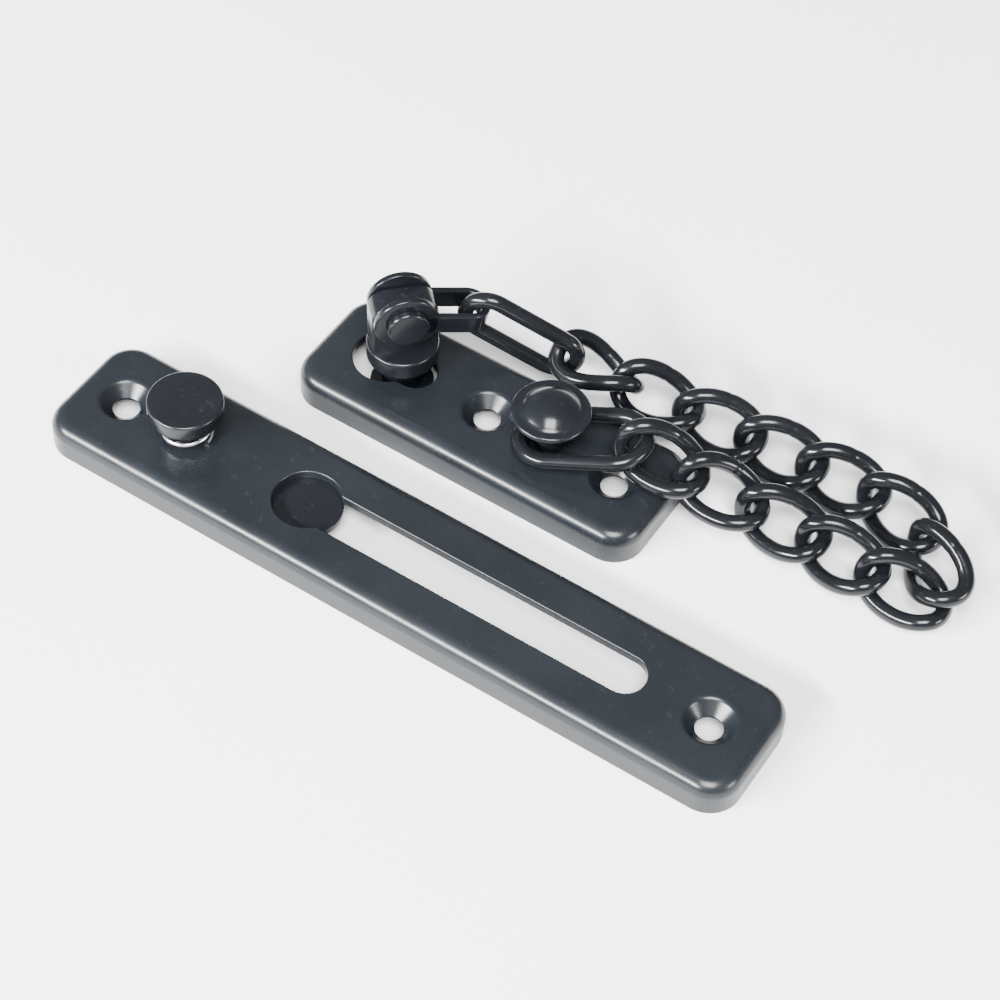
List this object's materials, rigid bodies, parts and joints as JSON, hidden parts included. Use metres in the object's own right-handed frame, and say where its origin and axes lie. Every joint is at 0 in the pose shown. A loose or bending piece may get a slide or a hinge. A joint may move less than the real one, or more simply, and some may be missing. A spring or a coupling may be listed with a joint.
{
  "type": "door chain guard",
  "caption": "Door chain guard with a slotted track plate, a spring press-button latch, an anchor plate and a curb chain that ends in a headed slider.",
  "frame": {"origin": "middle of the track plate's two screw holes, 4.75 mm out from the plates' backs", "axes": "+X along the track plate from the press button's end to the far end, +Y towards the anchor plate, +Z away from the door, out of the plates' faces"},
  "size_m": [0.1669, 0.0818, 0.0287],
  "materials": {
    "plates": "satin black powder coat on formed steel sheet",
    "fittings": "semi-gloss black coat on turned and stamped steel",
    "chain": "glossy black coat on round wire",
    "spring": "bright plated spring wire",
    "washer": "plain steel"
  },
  "bodies": {
    "anchor": {"anchor_plate": "plates", "rivet_post": "fittings"},
    "track": {"track_plate": "plates", "button_spring": "spring"},
    "button": {"press_button": "fittings", "latch_strip": "fittings", "latch_retainer": "washer"},
    "slider": {"slider": "fittings", "cross_pin": "fittings"},
    "shackle": {"shackle": "fittings"},
    "post_link": {"post_link": "chain"},
    "long_link": {"long_link": "chain"},
    "chain_link_01": {"chain_link_01": "chain"},
    "chain_link_02": {"chain_link_02": "chain"},
    "chain_link_03": {"chain_link_03": "chain"},
    "chain_link_04": {"chain_link_04": "chain"},
    "chain_link_05": {"chain_link_05": "chain"},
    "chain_link_12": {"chain_link_12": "chain"},
    "chain_link_11": {"chain_link_11": "chain"},
    "chain_link_10": {"chain_link_10": "chain"},
    "chain_link_09": {"chain_link_09": "chain"},
    "chain_link_08": {"chain_link_08": "chain"},
    "chain_link_07": {"chain_link_07": "chain"},
    "chain_link_06": {"chain_link_06": "chain"}
  },
  "joints": [
    {"name": "track_offset", "type": "slide", "parent": "anchor", "child": "track", "axis": [0, -1, 0], "range_m": [0, 0.03]},
    {"name": "button_press", "type": "slide", "parent": "track", "child": "button", "axis": [0, 0, -1], "range_m": [0, 0.0028], "stiffness_N_per_m": 600, "springref_m": -0.002, "deforming": ["button_spring"]},
    {"name": "chain_swing", "type": "hinge", "parent": "anchor", "child": "post_link", "pos_m": [0.0074, 0.0376, 0.00425], "axis": [0, 0, 1], "range_deg": [-2, 7]},
    {"name": "slider_turn", "type": "hinge", "parent": "anchor", "child": "slider", "pos_m": [-0.0272, 0.0386, 0.00025], "axis": [0, 0, 1], "range_deg": [-2, 5]},
    {"name": "shackle_tilt", "type": "hinge", "parent": "slider", "child": "shackle", "pos_m": [-0.0272, 0.0386, 0.01765], "axis": [0.7193, -0.6947, 0], "range_deg": [0, 20]},
    {"name": "long_link_tilt", "type": "hinge", "parent": "shackle", "child": "long_link", "pos_m": [-0.016, 0.0502, 0.0144], "axis": [0.7193, -0.6947, 0], "range_deg": [-25, 0]},
    {"name": "chain_link_01_twist", "type": "hinge", "parent": "post_link", "child": "chain_link_01", "pos_m": [0.02097, 0.04177, 0.00982], "axis": [0.9565, 0.1344, -0.2588], "range_deg": [-2, 2]},
    {"name": "chain_link_02_twist", "type": "hinge", "parent": "chain_link_01", "child": "chain_link_02", "pos_m": [0.03349, 0.04354, 0.00665], "axis": [-0.9303, -0.1977, 0.309], "range_deg": [-2, 2]},
    {"name": "chain_link_03_twist", "type": "hinge", "parent": "chain_link_02", "child": "chain_link_03", "pos_m": [0.04523, 0.04661, 0.00234], "axis": [0.997, 0.0348, -0.0698], "range_deg": [-2, 2]},
    {"name": "chain_link_04_twist", "type": "hinge", "parent": "chain_link_03", "child": "chain_link_04", "pos_m": [0.05802, 0.04729, 0.0014], "axis": [-0.9974, 0.0698, 0.0175], "range_deg": [-2, 2]},
    {"name": "chain_link_05_twist", "type": "hinge", "parent": "chain_link_04", "child": "chain_link_05", "pos_m": [0.07116, 0.04681, 0.00195], "axis": [0.981, 0.0343, -0.1908], "range_deg": [-2, 2]},
    {"name": "chain_link_12_twist", "type": "hinge", "parent": "long_link", "child": "chain_link_12", "pos_m": [-0.00192, 0.05565, 0.00726], "axis": [-0.9781, -0.1375, 0.1564], "range_deg": [-0.6, 0.6]},
    {"name": "chain_link_11_twist", "type": "hinge", "parent": "chain_link_12", "child": "chain_link_11", "pos_m": [0.01081, 0.05738, 0.00483], "axis": [0.9871, 0.1212, -0.1045], "range_deg": [-0.6, 0.6]},
    {"name": "chain_link_10_twist", "type": "hinge", "parent": "chain_link_11", "child": "chain_link_10", "pos_m": [0.02366, 0.05932, 0.00309], "axis": [-0.9932, -0.1044, 0.0523], "range_deg": [-0.6, 0.6]},
    {"name": "chain_link_09_twist", "type": "hinge", "parent": "chain_link_10", "child": "chain_link_09", "pos_m": [0.03663, 0.06091, 0.00234], "axis": [0.997, 0.0697, -0.0349], "range_deg": [-0.6, 0.6]},
    {"name": "chain_link_08_twist", "type": "hinge", "parent": "chain_link_09", "child": "chain_link_08", "pos_m": [0.0497, 0.06195, 0.0019], "axis": [-0.9997, -0.0174, -0.0174], "range_deg": [-0.6, 0.6]},
    {"name": "chain_link_07_twist", "type": "hinge", "parent": "chain_link_08", "child": "chain_link_07", "pos_m": [0.06275, 0.06255, 0.00294], "axis": [0.9824, -0.1732, -0.0698], "range_deg": [-2, 2]},
    {"name": "chain_link_06_twist", "type": "hinge", "parent": "chain_link_07", "child": "chain_link_06", "pos_m": [0.07548, 0.0598, 0.00116], "axis": [-0.7529, 0.6545, -0.0698], "range_deg": [-2, 2]}
  ],
  "couplings": [
    {"joint": "slider_turn", "follows": "chain_swing", "ratio": 0.704},
    {"joint": "long_link_tilt", "follows": "shackle_tilt", "ratio": -1.227}
  ]
}
